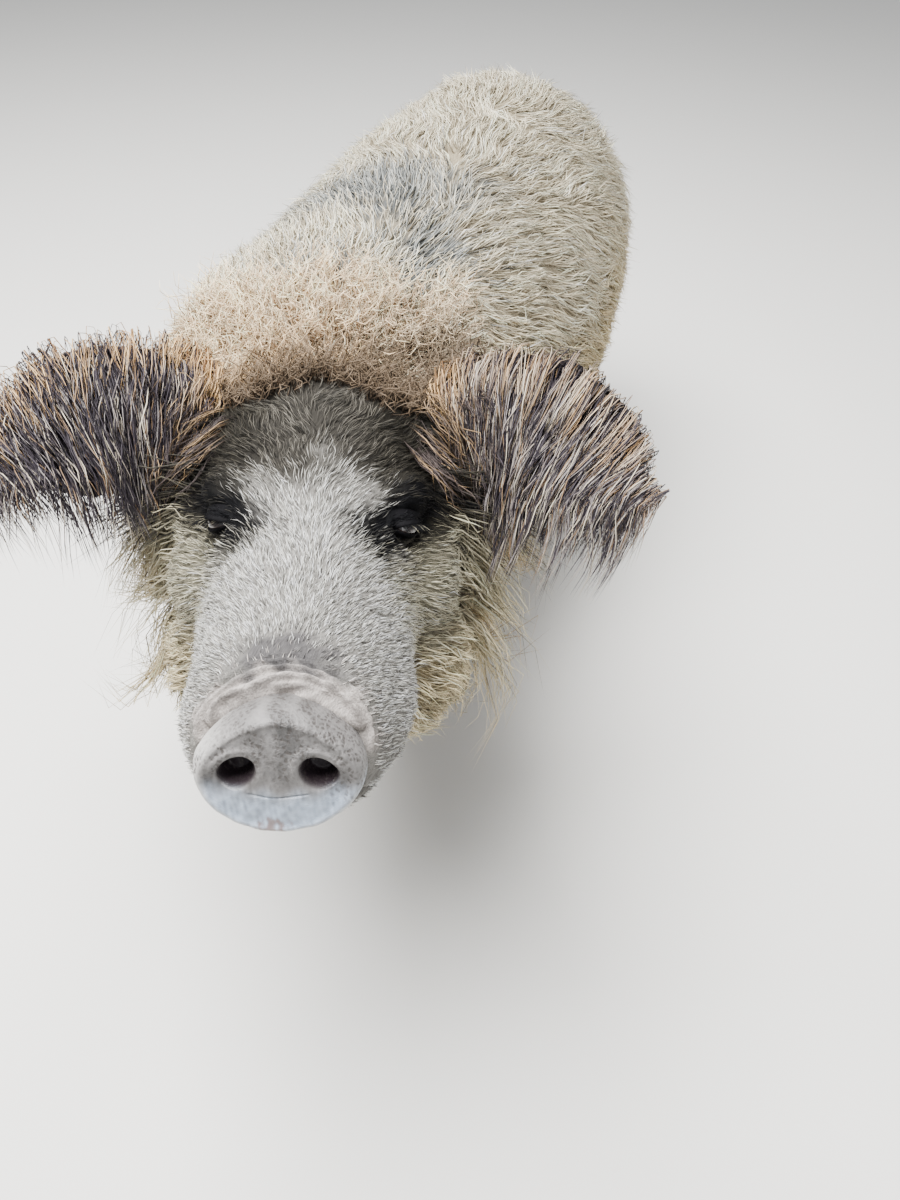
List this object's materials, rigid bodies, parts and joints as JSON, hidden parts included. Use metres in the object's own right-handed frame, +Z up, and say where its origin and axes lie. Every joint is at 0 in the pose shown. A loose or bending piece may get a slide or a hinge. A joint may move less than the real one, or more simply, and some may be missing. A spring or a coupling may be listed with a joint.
{
  "type": "mangalica pig",
  "caption": "Life-size still model of a standing mangalica sow, with a long wavy coat, a curly crest, hanging haired ears and her head raised and turned to one side.",
  "frame": {"origin": "on the floor, under the middle of the box that holds the animal", "axes": "+Z up, the animal faces -Y, its left side is +X"},
  "size_m": [0.6342, 1.527, 0.7261],
  "materials": {
    "coat": "long wavy cream and straw hair over grey skin",
    "face": "short silver-grey and straw hair",
    "ear": "long dark brown hair with cream streaks",
    "snout": "bare grey skin, damp, finely pitted",
    "eye": "dark brown, wet and glossy",
    "horn": "black horn of the hooves, worn"
  },
  "bodies": {
    "root": {"torso": "coat", "neck": "coat", "head": "face", "snout_disc": "snout", "ear_left": "ear", "ear_right": "ear", "eye_left": "eye", "eye_right": "eye", "foreleg_left": "coat", "foreleg_right": "coat", "hindleg_left": "coat", "hindleg_right": "coat", "tail": "coat", "hoof_fore_left_inner": "horn", "dewclaw_fore_left_inner": "horn", "hoof_fore_left_outer": "horn", "dewclaw_fore_left_outer": "horn", "hoof_fore_right_inner": "horn", "dewclaw_fore_right_inner": "horn", "hoof_fore_right_outer": "horn", "dewclaw_fore_right_outer": "horn", "hoof_hind_left_inner": "horn", "dewclaw_hind_left_inner": "horn", "hoof_hind_left_outer": "horn", "dewclaw_hind_left_outer": "horn", "hoof_hind_right_inner": "horn", "dewclaw_hind_right_inner": "horn", "hoof_hind_right_outer": "horn", "dewclaw_hind_right_outer": "horn"}
  },
  "joints": []
}
